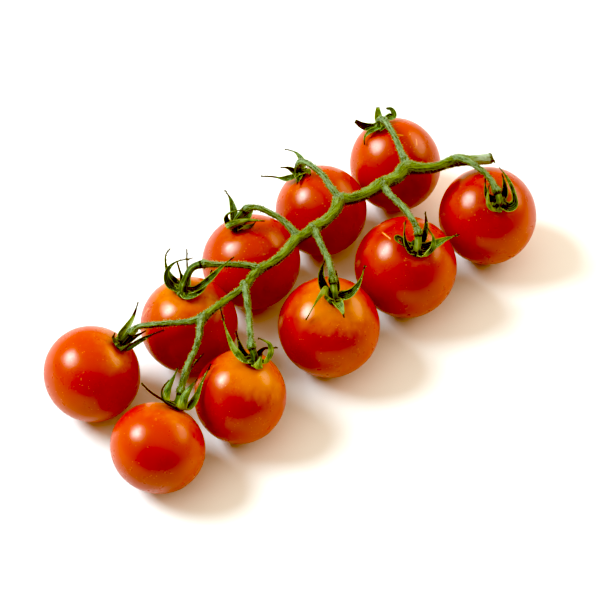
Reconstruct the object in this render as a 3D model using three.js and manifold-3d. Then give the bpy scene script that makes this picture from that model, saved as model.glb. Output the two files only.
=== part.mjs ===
// A truss of ten small round tomatoes, lying on its fruit with the cut stalk along the top.
// Millimetres. +X runs along the stalk to its cut end, +Z is up, and the fruit rest on z = 0.
import * as THREE from 'three';
import { mergeVertices } from 'three/addons/utils/BufferGeometryUtils.js';
import Module from 'manifold-3d';

// Clearances and shared proportions
const GAP = 0.3; // between pieces that touch
const JOINT_GAP = 0.4; // between a knuckle and the neck below it, across a bend
const FLAT_DEPTH = 0.25; // how far the low point of a resting fruit is pressed flat
const DIMPLE_DEPTH = 0.05; // of the hollow round the stem, over the radius
const DIMPLE_WIDTH = 0.25; // over the radius
const HUB_DEPTH = 0.04; // how far below the fruit's full height the calyx sits, over the radius

// Stems
const PEDICEL_RADIUS = 0.95; // of a fruit's stem
const FLARE = 0.9; // how much wider it is where it leaves the stalk
const FLARE_LENGTH = 2.5;
const KNUCKLE_RADIUS = 1.5; // of the swollen joint where a ripe fruit snaps off
const KNUCKLE_LENGTH = 1.3;
const NECK_RADIUS = 1.15; // of the stem between the knuckle and the fruit
const NECK_SHOULDER = 0.2; // how much wider it is right below the knuckle
const STRAIGHT_RISE = 2.5; // the stem stands square on the fruit for this long
const NECK_BASE_RADIUS = 1.6; // where it widens into the calyx
const CUP_RADIUS = 2.9; // of the disc that the sepals grow from
const CUP_HEIGHT = 1.0; // half its thickness

// Sepals
const SEPAL_THICKNESS = 0.84; // along the midrib, thinning to about three quarters at the edges
const SEPAL_TIP_WIDTH = 0.5;
const SEPAL_FOLD = 0.3; // how far the edges bend up, over half the width
const SEPAL_EDGE = 0.4; // how fast the blade thins towards its edges, as a power
const BLADE_START = 0.22; // a blade's outline is a sine arch that starts this far in
const BLADE_LEAN = 0.8; // under 1, the widest place is nearer the foot
const SEPAL_ROOT = [0, 0, 1]; // where every midrib starts, inside the cup
const TWIST_FROM = 0.1; // a sepal twists between these shares of its length
const TWIST_TO = 0.6;

// Facets
const FRUIT_SIDES = 24;
const FRUIT_RINGS = 12;
const STALK_SIDES = 8;
const PEDICEL_SIDES = 6;
const CUP_SIDES = 10;
const CUP_RINGS = 4;
const SEPAL_SIDES = 6;
const SEPAL_STEPS = 6;
const STEM_STEP = 2.6; // length of a facet along a fruit's stem
const NECK_STEP = 1.6;

const RED = 0xc01404;
const STALK_GREEN = 0x86a338;
const SEPAL_GREEN = 0x4f7d22;

// The main stalk from its cut end to the last fork: x, y, z and its radius there
const STALK = [
  [79.2, -8.1, 34.0, 1.8], [75.9, -6.6, 34.2, 1.7], [72.3, -4.6, 34.5, 1.7], [68.7, -2.2, 34.8, 2.15],
  [64.8, -1.3, 35.0, 1.75], [60.9, -0.7, 35.2, 1.65], [56.1, 1.8, 35.5, 1.9], [52.0, 4.7, 35.8, 2.4],
  [46.4, 3.2, 36.0, 2.0], [40.8, 3.8, 36.0, 2.3], [35.5, 3.6, 36.0, 1.8], [28.8, 4.7, 36.0, 1.75],
  [25.5, 7.0, 36.0, 2.15], [21.1, 4.0, 36.0, 1.7], [15.8, 2.5, 36.0, 1.65], [10.5, 2.2, 36.0, 2.05],
  [6.8, 2.2, 35.5, 1.65], [4.2, 2.6, 35.0, 1.9], [-3.0, 0.3, 34.7, 1.4], [-8.2, -0.2, 34.4, 1.3],
  [-13.1, 0.2, 34.0, 1.65], [-16.9, -0.7, 33.6, 1.3], [-19.8, -1.8, 33.2, 1.55], [-23.4, -2.3, 32.9, 1.2],
  [-28.8, -2.5, 32.5, 1.1], [-33.1, -2.8, 32.2, 1.1], [-38.8, -3.4, 31.5, 1.4],
];

// One entry for each fruit, from the far end of the truss to the cut end.
// at: where its centre stands. height: half its height along its own axis, over its radius.
// lean and heading: how far that axis tips and towards where, in degrees.
// pedicel: its stem, from inside the stalk to just above the knuckle. neck: its length below the knuckle.
// sepals: the width of each, how many degrees it twists, then its midrib in the calyx's own x, y and height.
const FRUIT = [
  {
    at: [-73.2, 10.2], radius: 15.8, height: 0.97, lean: 42, heading: -18, neck: 5.3,
    pedicel: [[-36.8, -3.3, 31.7], [-41.0, -2.4, 31.5], [-46.7, 1.0, 31.2], [-53.0, 4.9, 31.0],
      [-56.6, 6.9, 30.6]],
    sepals: [
      [2.9, -30, [1.5, 2.8, 1.5], [3.0, 4.0, 4.5], [3.2, 5.0, 8.5], [3.5, 7.5, 13.0]],
      [2.4, 70, [0.1, -3.1, 1.8], [2.1, -2.9, 5.1], [4.7, -3.3, 9.5], [6.3, -4.6, 13.7]],
      [1.9, -33, [-2.0, -2.6, 1.2], [-1.8, -3.0, 3.6], [0.4, -3.4, 7.2]],
      [2.4, 12, [3.2, 0.6, 1.2], [5.6, 0.8, 3.4], [7.6, 0.4, 7.0]],
      [2.2, 56, [-2.3, 0.9, 1.3], [-3.3, 1.9, 1.9], [-3.1, 2.7, 3.5]],
    ],
  },
  {
    at: [-72.2, -25.9], radius: 15.2, height: 0.94, lean: 52, heading: 22, neck: 5.0,
    pedicel: [[-37.4, -2.9, 31.8], [-39.5, -4.2, 31.5], [-42.7, -7.9, 30.8], [-46.1, -10.8, 30.0],
      [-50.2, -13.3, 29.4], [-54.8, -16.6, 28.8]],
    sepals: [
      [2.3, 75, [-3.5, -1.0, 1.2], [-7.0, 0.5, 1.6], [-10.5, 3.0, 2.5], [-13.5, 5.0, 4.0]],
      [1.8, 25, [-4.6, -2.2, 0.9], [-7.6, -0.8, 1.8], [-8.5, 0.5, 4.5], [-7.4, 0.5, 8.2]],
      [3.4, 60, [-3.4, 2.2, 1.4], [-4.4, 2.4, 5.0], [-4.2, 2.2, 9.0], [-3.6, 2.6, 12.6]],
      [2.4, -6, [2.4, 2.6, 1.6], [3.4, 3.6, 6.0], [3.0, 3.4, 13.0], [4.6, 2.6, 19.0]],
      [4.0, -23, [-1.4, -3.6, 1.2], [-1.8, -3.2, 5.0], [-0.6, -3.0, 9.0], [1.4, -2.2, 11.2]],
      [3.2, 60, [3.2, -2.2, 1.3], [4.6, -2.0, 5.0], [4.8, -1.6, 10.0], [6.2, -0.6, 17.0]],
    ],
  },
  {
    at: [-40.1, -25.9], radius: 14.8, height: 1.05, lean: 21, heading: 1, neck: 5.4,
    pedicel: [[-19.6, -0.9, 33.2], [-21.8, -4.7, 33.6], [-24.0, -8.4, 34.0], [-27.8, -14.6, 34.4],
      [-30.9, -19.5, 34.3], [-33.2, -23.3, 33.4]],
    sepals: [
      [3.4, -70, [-3.8, 0.8, 1.3], [-5.0, 5.0, 3.4], [-5.2, 10.5, 6.8], [-4.8, 16.0, 11.0]],
      [3.1, -80, [3.0, -2.7, 1.3], [3.5, -3.1, 4.8], [2.4, -1.7, 8.8], [-0.4, 1.1, 9.8]],
      [1.4, -7, [3.0, 1.4, 1.4], [4.6, 1.2, 3.6], [5.6, -0.4, 4.8], [7.2, -1.6, 5.6]],
      [2.9, -55, [-2.0, 3.0, 1.4], [-3.2, 5.0, 4.6], [-4.0, 7.6, 8.4]],
      [3.7, -27, [-1.4, -3.8, 1.2], [-1.6, -3.8, 3.4], [-0.6, -2.8, 6.6]],
    ],
  },
  {
    at: [-36.7, 7.5], radius: 16.1, height: 0.98, lean: 7, heading: 86, neck: 13.0,
    pedicel: [[-12.8, -0.1, 33.9], [-13.9, 1.7, 34.6], [-16.6, 3.9, 35.6], [-20.4, 5.8, 36.8],
      [-25.1, 8.1, 38.0], [-28.4, 10.1, 38.6], [-31.8, 11.1, 38.2], [-34.8, 10.3, 36.0]],
    sepals: [
      [2.6, -29, [0.0, 3.6, 1.3], [0.0, 7.6, 2.0], [1.2, 11.6, 3.4], [2.4, 13.0, 6.0], [4.0, 12.2, 8.6]],
      [3.5, -70, [-2.2, 3.8, 1.4], [-1.2, 7.0, 4.2], [2.0, 7.0, 7.2], [7.0, 3.6, 8.8]],
      [2.6, -3, [2.0, 3.2, 1.5], [2.6, 5.4, 4.0], [3.4, 8.0, 6.6]],
      [2.6, 9, [3.4, 2.2, 1.5], [5.4, 5.2, 4.6], [8.6, 9.6, 7.4]],
      [3.1, 45, [2.9, -2.3, 1.3], [6.3, -4.0, 3.6], [9.7, -5.4, 7.1], [13.3, -5.7, 9.0], [17.0, -5.7, 9.8]],
      [3.1, -10, [-1.0, -3.4, 1.3], [3.0, -4.6, 1.4], [7.4, -3.0, 1.8], [11.0, -0.6, 4.0]],
    ],
  },
  {
    at: [-4.6, 16.7], radius: 16.7, height: 0.95, lean: 18, heading: 109, neck: 9.0,
    pedicel: [[5.0, 2.3, 35.0], [5.0, 6.1, 35.6], [4.5, 10.2, 36.6], [2.3, 15.1, 38.0],
      [-0.2, 19.0, 38.8], [-3.1, 20.6, 38.4], [-5.4, 21.1, 36.4]],
    sepals: [
      [3.7, 0, [1.2, 3.2, 1.5], [3.0, 6.0, 3.4], [4.6, 9.6, 5.0], [5.6, 14.0, 5.8]],
      [3.7, -15, [-2.8, 1.4, 1.3], [-3.6, -0.6, 3.4], [-0.8, -3.0, 4.6], [3.0, -5.2, 4.2],
        [6.4, -8.0, 3.0]],
      [2.9, -70, [-2.1, 1.9, 2.0], [-2.8, 0.9, 6.7], [-1.4, -2.1, 9.5], [1.9, -4.5, 9.3]],
      [2.9, 40, [3.4, 0.6, 1.4], [5.8, 1.0, 1.6], [8.2, 1.0, 3.4]],
      [3.1, -75, [0.6, -3.4, 1.2], [2.6, -4.8, 1.6], [4.6, -5.0, 2.6]],
    ],
  },
  {
    at: [-0.7, -21.4], radius: 16.8, height: 0.98, lean: 5, heading: -61, neck: 6.2,
    pedicel: [[10.4, 2.6, 36.0], [10.0, 0.1, 36.4], [8.8, -3.1, 37.2], [6.5, -9.1, 38.4],
      [4.9, -13.7, 38.8], [2.6, -18.3, 37.6]],
    sepals: [
      [3.2, -20, [-2.0, 0.7, 2.4], [-3.0, 1.9, 5.0], [-5.3, 1.0, 5.5], [-8.1, 0.1, 2.7],
        [-11.5, -0.7, -1.9]],
      [4.1, 44, [2.8, -2.0, 1.6], [5.0, -2.8, 3.2], [8.6, -2.0, 5.2], [13.4, 1.6, 6.6]],
      [3.4, 17, [-0.4, -3.0, 1.3], [-0.8, -5.2, 1.2], [-1.8, -8.0, 0.4]],
      [3.5, -50, [-1.0, 3.4, 1.8], [-1.5, 5.0, 5.4], [-0.9, 6.5, 9.0], [1.3, 7.8, 11.3]],
      [2.3, 14, [2.8, 2.2, 1.4], [4.2, 4.0, 3.0], [4.4, 5.4, 6.0]],
    ],
  },
  {
    at: [28.3, 20.8], radius: 15.8, height: 0.99, lean: 35, heading: 105, neck: 7.6,
    pedicel: [[25.6, 6.3, 36.0], [25.6, 8.7, 36.6], [25.5, 11.9, 37.6], [26.0, 17.6, 38.6],
      [25.6, 22.8, 38.7], [25.2, 27.1, 37.0], [25.2, 29.5, 33.6]],
    sepals: [
      [3.6, -65, [-2.8, -0.8, 1.3], [-5.2, 2.0, 2.0], [-7.6, 4.6, 4.0], [-10.4, 7.6, 5.6]],
      [3.2, 21, [2.8, 1.4, 1.6], [4.2, 4.0, 3.4], [4.4, 6.8, 5.6], [2.4, 8.6, 8.0]],
      [2.3, -21, [-0.6, 2.8, 1.5], [-1.8, 3.4, 3.8], [-4.0, 3.4, 5.6]],
      [3.1, 3, [0.6, -3.2, 1.3], [1.4, -4.6, 1.5], [0.6, -6.6, 1.0]],
      [2.6, -36, [-2.2, -2.6, 1.2], [-3.2, -3.8, 1.1], [-4.8, -5.2, 0.6]],
    ],
  },
  {
    at: [35.3, -17.1], radius: 17.2, height: 0.98, lean: 20, heading: -100, neck: 6.6,
    pedicel: [[40.9, 3.8, 36.0], [40.2, 0.9, 36.6], [39.2, -3.5, 37.6], [38.6, -9.1, 38.8],
      [37.6, -15.2, 39.4], [36.4, -20.5, 38.0]],
    sepals: [
      [4.1, 18, [2.6, -1.8, 1.7], [5.4, -2.6, 3.4], [9.2, -3.2, 4.2], [13.6, -4.5, 5.0]],
      [3.7, -85, [0.6, -3.6, 1.4], [3.0, -4.0, 4.0], [4.6, -1.2, 7.0], [4.2, 3.0, 8.6]],
      [3.1, 54, [-2.4, 2.6, 1.5], [-3.8, 5.8, 2.8], [-5.6, 5.2, 4.6], [-4.8, 1.4, 5.6]],
      [2.6, -20, [-2.7, 0.2, 1.4], [-3.1, 3.2, 3.3], [-2.0, 6.0, 5.7], [0.2, 8.6, 7.7]],
      [2.9, 0, [3.6, 1.4, 1.5], [5.9, 3.9, 5.4], [7.6, 7.6, 7.6]],
    ],
  },
  {
    at: [61.7, 21.5], radius: 15.9, height: 1.05, lean: 26, heading: 99, neck: 6.4,
    pedicel: [[53.4, 6.3, 35.7], [54.6, 10.3, 36.6], [55.9, 14.4, 37.6], [57.7, 20.5, 38.0],
      [59.2, 25.3, 36.8]],
    sepals: [
      [3.4, -60, [-3.5, 0.8, 1.2], [-5.7, 2.4, 2.8], [-6.8, 4.6, 4.9]],
      [2.6, -42, [-2.6, -2.2, 1.2], [-5.6, -1.0, 1.2], [-7.8, -0.4, 0.2], [-9.5, -1.5, -1.6]],
      [3.1, 5, [1.2, 2.6, 1.6], [2.0, 3.4, 3.3], [3.0, 3.9, 5.1]],
      [3.1, 75, [2.8, -0.7, 1.5], [5.1, -0.9, 1.9], [5.5, 0.1, 3.5], [4.3, 1.0, 4.5]],
      [2.6, 0, [0.0, -3.0, 1.3], [-2.2, -4.2, 1.2], [-4.6, -3.6, 1.0]],
    ],
  },
  {
    at: [72.2, -16.2], radius: 16.8, height: 0.99, lean: 25, heading: -109, neck: 5.2,
    pedicel: [[68.4, -1.9, 34.9], [68.4, -2.7, 36.2], [69.1, -5.7, 37.8], [70.0, -11.0, 38.2],
      [70.8, -16.3, 37.2]],
    sepals: [
      [3.4, 50, [-3.5, -1.4, 1.2], [-4.9, 0.2, 2.8], [-4.3, 2.6, 5.5], [-2.2, 5.5, 8.7]],
      [4.1, 30, [1.5, -3.8, 1.3], [3.4, -4.3, 3.8], [4.4, -1.1, 6.9], [4.6, 3.9, 8.9], [4.2, 8.6, 9.1]],
      [2.4, -9, [-2.4, -2.8, 1.3], [-2.6, -2.6, 3.4], [-1.4, -1.4, 7.0]],
      [2.6, -6, [3.0, 1.0, 1.5], [4.6, 3.4, 2.8], [6.0, 7.0, 3.2]],
      [2.9, -50, [-2.2, 2.6, 1.8], [-2.8, 5.2, 5.0], [-1.4, 8.4, 7.6]],
    ],
  },
];

const wasm = await Module();
wasm.setup();

// Gives a closed geometry as a solid that can be joined and cut.
function solidOf(geometry) {
  const bare = geometry.clone();
  bare.deleteAttribute('normal');
  bare.deleteAttribute('uv');
  const merged = mergeVertices(bare, 1e-5);
  return new wasm.Manifold(new wasm.Mesh({
    numProp: 3,
    vertProperties: new Float32Array(merged.attributes.position.array),
    triVerts: new Uint32Array(merged.index.array),
  }));
}

function geometryOf(solid) {
  const mesh = solid.getMesh();
  const geometry = new THREE.BufferGeometry();
  geometry.setAttribute('position', new THREE.BufferAttribute(new Float32Array(mesh.vertProperties), 3));
  geometry.setIndex(new THREE.BufferAttribute(new Uint32Array(mesh.triVerts), 1));
  geometry.computeVertexNormals();
  return geometry;
}

function join(geometries) {
  return geometries.map(solidOf).reduce((whole, piece) => whole.add(piece));
}

// Cutting can leave loose crumbs, so only the largest piece is kept.
function largestPiece(solid) {
  return solid.decompose().reduce((best, piece) => (piece.volume() > best.volume() ? piece : best));
}

const SIDEWAYS = new THREE.Vector3(1, 0, 0);
const pointOf = ([x, y, z]) => new THREE.Vector3(x, y, z);

// A solid swept along a curve from one share of it to another, counted along its points or, where even is
// set, its length. The rings of a cylinder are laid across the curve, and shape(share, x, z) turns a point of
// the unit circle into its distances sideways and upward on that ring.
function sweep(curve, { sides, steps, side, from = 0, to = 1, even = false, shape }) {
  const form = new THREE.CylinderGeometry(1, 1, 1, sides, steps);
  const position = form.attributes.position;
  const rings = [];
  const across = side.clone();
  const turn = new THREE.Quaternion();
  for (let step = 0; step <= steps; step += 1) {
    const share = from + ((to - from) * step) / steps;
    const tangent = even ? curve.getTangentAt(share) : curve.getTangent(share);
    if (step > 0) across.applyQuaternion(turn.setFromUnitVectors(rings[step - 1].tangent, tangent));
    across.addScaledVector(tangent, -across.dot(tangent)).normalize();
    rings.push({
      share,
      tangent,
      centre: even ? curve.getPointAt(share) : curve.getPoint(share),
      across: across.clone(),
      above: new THREE.Vector3().crossVectors(tangent, across),
    });
  }
  for (let i = 0; i < position.count; i += 1) {
    const ring = rings[Math.round((0.5 - position.getY(i)) * steps)];
    const [sideways, upward] = shape(ring.share, position.getX(i), position.getZ(i));
    const point = ring.centre.clone().addScaledVector(ring.across, sideways);
    point.addScaledVector(ring.above, upward);
    position.setXYZ(i, point.x, point.y, point.z);
  }
  return form;
}

// Reads a list of values as a line through them, at a share from 0 to 1 of its length.
function along(values, share) {
  const spot = share * (values.length - 1);
  const before = Math.min(Math.floor(spot), values.length - 2);
  return THREE.MathUtils.lerp(values[before], values[before + 1], spot - before);
}

function fruitGeometry({ radius, height: fullness }) {
  const profile = [];
  for (let ring = 0; ring <= FRUIT_RINGS; ring += 1) {
    const angle = Math.PI * (1 - ring / FRUIT_RINGS);
    const reach = ring % FRUIT_RINGS === 0 ? 0 : radius * Math.sin(angle);
    const spread = Math.cos(angle) > 0 ? Math.exp(-((reach / radius / DIMPLE_WIDTH) ** 2)) : 0;
    const height = fullness * Math.cos(angle) - DIMPLE_DEPTH * spread;
    profile.push(new THREE.Vector2(reach, height * radius));
  }
  return new THREE.LatheGeometry(profile, FRUIT_SIDES).rotateX(Math.PI / 2);
}

// How far up the fruit's axis the calyx sits.
function hubHeight({ radius, height }) {
  return radius * (height - HUB_DEPTH);
}

// The stem of one fruit, from the stalk to the calyx, in the truss's own frame.
function stemCurve(fruit, place) {
  const hub = new THREE.Vector3(0, 0, hubHeight(fruit));
  const above = hub.clone().setZ(hub.z + STRAIGHT_RISE);
  const points = [...fruit.pedicel.map(pointOf), above.applyMatrix4(place), hub.applyMatrix4(place)];
  return new THREE.CatmullRomCurve3(points, false, 'centripetal');
}

function pedicelGeometry(fruit, curve) {
  const length = curve.getLength();
  const end = 1 - (fruit.neck + JOINT_GAP) / length;
  return sweep(curve, {
    sides: PEDICEL_SIDES, steps: Math.ceil(length / STEM_STEP), side: SIDEWAYS, to: end, even: true,
    shape: (share, x, z) => {
      const back = ((end - share) * length) / KNUCKLE_LENGTH;
      const flare = FLARE * Math.exp((-share * length) / FLARE_LENGTH);
      const swelling = (KNUCKLE_RADIUS - PEDICEL_RADIUS) * Math.exp(-((back - 0.6) ** 2));
      const radius = PEDICEL_RADIUS + flare + swelling;
      return [radius * x, radius * z];
    },
  });
}

function neckGeometry(fruit, curve, toCalyx) {
  const length = curve.getLength();
  const start = 1 - fruit.neck / length;
  return sweep(curve, {
    sides: PEDICEL_SIDES, steps: Math.ceil(fruit.neck / NECK_STEP), side: SIDEWAYS, from: start, even: true,
    shape: (share, x, z) => {
      const run = (share - start) / (1 - start);
      const shoulder = NECK_SHOULDER * Math.exp(-12 * run);
      const radius = THREE.MathUtils.lerp(NECK_RADIUS, NECK_BASE_RADIUS, run ** 3) + shoulder;
      return [radius * x, radius * z];
    },
  }).applyMatrix4(toCalyx);
}

function sepalGeometry([width, twist, ...midrib]) {
  const points = [SEPAL_ROOT, ...midrib].map(pointOf);
  const outward = points[2].clone().add(points[1]).setZ(0).normalize();
  return sweep(new THREE.CatmullRomCurve3(points, false, 'centripetal'), {
    sides: SEPAL_SIDES, steps: SEPAL_STEPS, side: new THREE.Vector3(0, 0, 1).cross(outward),
    shape: (share, x, z) => {
      const blade = Math.sin(Math.PI * THREE.MathUtils.lerp(BLADE_START, 1, share ** BLADE_LEAN));
      const half = Math.max(width * blade, SEPAL_TIP_WIDTH) / 2;
      const thick = (SEPAL_THICKNESS / 2) * Math.sign(z) * Math.abs(z) ** SEPAL_EDGE;
      const roll = THREE.MathUtils.degToRad(twist * THREE.MathUtils.smoothstep(share, TWIST_FROM, TWIST_TO));
      const sideways = half * x;
      const upward = thick + SEPAL_FOLD * half * Math.abs(x);
      return [
        sideways * Math.cos(roll) - upward * Math.sin(roll),
        sideways * Math.sin(roll) + upward * Math.cos(roll),
      ];
    },
  });
}

function calyxGeometry(fruit, stem, toCalyx) {
  const cup = new THREE.SphereGeometry(1, CUP_SIDES, CUP_RINGS).rotateX(Math.PI / 2);
  cup.scale(CUP_RADIUS, CUP_RADIUS, CUP_HEIGHT).translate(0, 0, CUP_HEIGHT);
  const whole = join([cup, neckGeometry(fruit, stem, toCalyx), ...fruit.sepals.map(sepalGeometry)]);
  const grown = (fruit.radius + GAP) / fruit.radius;
  const fruitSpace = fruitGeometry(fruit).scale(grown, grown, grown);
  fruitSpace.translate(0, 0, -hubHeight(fruit));
  return geometryOf(largestPiece(whole.subtract(solidOf(fruitSpace))));
}

// The fruit with its low side cut flat where it rests.
function restingFruitGeometry(fruit, placed) {
  const size = 4 * fruit.radius;
  const aboveGround = new THREE.BoxGeometry(size, size, size).translate(fruit.at[0], fruit.at[1], size / 2);
  const whole = solidOf(fruitGeometry(fruit));
  return geometryOf(whole.intersect(solidOf(aboveGround.applyMatrix4(placed.clone().invert()))));
}

function stalkGeometry(stems) {
  const centres = STALK.map(pointOf);
  const radii = STALK.map(([, , , radius]) => radius);
  const rachis = sweep(new THREE.CatmullRomCurve3(centres, false, 'centripetal'), {
    sides: STALK_SIDES, steps: 2 * (STALK.length - 1), side: new THREE.Vector3(0, 0, 1),
    shape: (share, x, z) => [along(radii, share) * x, along(radii, share) * z],
  });
  return geometryOf(join([rachis, ...stems.map((stem, i) => pedicelGeometry(FRUIT[i], stem))]));
}

function namedMesh(name, geometry, color, roughness) {
  const mesh = new THREE.Mesh(geometry, new THREE.MeshStandardMaterial({ color, roughness, metalness: 0 }));
  mesh.name = name;
  return mesh;
}

const truss = new THREE.Group();
const stems = [];
FRUIT.forEach((fruit, i) => {
  const heading = THREE.MathUtils.degToRad(fruit.heading);
  const lean = THREE.MathUtils.degToRad(fruit.lean);
  const height = fruit.radius * Math.hypot(Math.sin(lean), fruit.height * Math.cos(lean)) - FLAT_DEPTH;
  const standing = new THREE.Group();
  standing.position.set(fruit.at[0], fruit.at[1], height);
  standing.quaternion.setFromAxisAngle(new THREE.Vector3(-Math.sin(heading), Math.cos(heading), 0), lean);
  standing.updateMatrix();
  const stem = stemCurve(fruit, standing.matrix);
  stems.push(stem);

  const tomato = namedMesh(`tomato_${i + 1}`, restingFruitGeometry(fruit, standing.matrix), RED, 0.25);
  const crown = new THREE.Group();
  crown.position.z = hubHeight(fruit);
  crown.updateMatrix();
  const toCalyx = standing.matrix.clone().multiply(crown.matrix).invert();
  crown.add(namedMesh(`calyx_${i + 1}`, calyxGeometry(fruit, stem, toCalyx), SEPAL_GREEN, 0.6));
  standing.add(tomato, crown);
  truss.add(standing);
});
truss.add(namedMesh('stalk', stalkGeometry(stems), STALK_GREEN, 0.6));

export default truss;
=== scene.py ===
"""Dresses a truss of ten small round tomatoes: skins, leafy calyxes, the hairy stalk and a studio.

Places and sizes in the tables are millimetres. +X runs along the stalk to its cut end, +Z is up, and the
fruit rest on z = 0. Each piece is built in millimetres and scaled to metres last.
"""
import math
import random
from collections import namedtuple

import bmesh
import bpy
from bpy.props import FloatProperty, FloatVectorProperty, IntProperty, PointerProperty
from mathutils import Matrix, Quaternion, Vector, noise
from mathutils.kdtree import KDTree


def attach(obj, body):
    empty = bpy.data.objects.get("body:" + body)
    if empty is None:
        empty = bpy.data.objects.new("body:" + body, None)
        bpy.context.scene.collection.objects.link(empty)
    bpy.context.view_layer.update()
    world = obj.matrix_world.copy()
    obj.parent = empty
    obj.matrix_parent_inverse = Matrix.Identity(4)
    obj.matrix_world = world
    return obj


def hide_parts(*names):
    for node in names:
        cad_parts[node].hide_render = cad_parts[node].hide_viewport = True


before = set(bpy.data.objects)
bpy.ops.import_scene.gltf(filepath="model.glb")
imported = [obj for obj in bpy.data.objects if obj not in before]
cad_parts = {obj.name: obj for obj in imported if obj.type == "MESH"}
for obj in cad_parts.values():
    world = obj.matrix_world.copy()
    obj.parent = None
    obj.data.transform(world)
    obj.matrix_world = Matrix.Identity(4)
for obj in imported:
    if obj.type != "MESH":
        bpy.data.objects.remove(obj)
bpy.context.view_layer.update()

bl_info = {
    "name": "Tomato Truss",
    "version": (1, 0, 0),
    "blender": (4, 5, 0),
    "location": "View3D > Sidebar > Truss",
    "description": "Dresses a truss of small round tomatoes and lights it on a pale floor",
    "category": "Object",
}

MM = 0.001

# Proportions that the fruit and the calyxes share
DIMPLE_DEPTH = 0.05  # of the hollow round the stem, over the radius
DIMPLE_WIDTH = 0.25  # over the radius
HUB_DEPTH = 0.04  # how far below the fruit's full height the calyx sits, over the radius
FLAT_DEPTH = 0.25  # how far the low point of a resting fruit is pressed flat
STRAIGHT_RISE = 2.5  # the stem stands square on the fruit for this long
SKIN_GAP = 0.15  # a sepal lies this far off the skin
SWELL_SCALE = 1.3  # of the noise that makes a fruit uneven, over its radius
MARK_REACH = 0.6  # a scratch shows this near its middle, over the radius

# The main stalk from its cut end to the last fork: x, y, z and its radius there
STALK = (
    (79.2, -8.1, 34.0, 1.8), (75.9, -6.6, 34.2, 1.7), (72.3, -4.6, 34.5, 1.7), (68.7, -2.2, 34.8, 2.15),
    (64.8, -1.3, 35.0, 1.75), (60.9, -0.7, 35.2, 1.65), (56.1, 1.8, 35.5, 1.9), (52.0, 4.7, 35.8, 2.4),
    (46.4, 3.2, 36.0, 2.0), (40.8, 3.8, 36.0, 2.3), (35.5, 3.6, 36.0, 1.8), (28.8, 4.7, 36.0, 1.75),
    (25.5, 7.0, 36.0, 2.15), (21.1, 4.0, 36.0, 1.7), (15.8, 2.5, 36.0, 1.65), (10.5, 2.2, 36.0, 2.05),
    (6.8, 2.2, 35.5, 1.65), (4.2, 2.6, 35.0, 1.9), (-3.0, 0.3, 34.7, 1.4), (-8.2, -0.2, 34.4, 1.3),
    (-13.1, 0.2, 34.0, 1.65), (-16.9, -0.7, 33.6, 1.3), (-19.8, -1.8, 33.2, 1.55), (-23.4, -2.3, 32.9, 1.2),
    (-28.8, -2.5, 32.5, 1.1), (-33.1, -2.8, 32.2, 1.1), (-38.8, -3.4, 31.5, 1.4),
)

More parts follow.
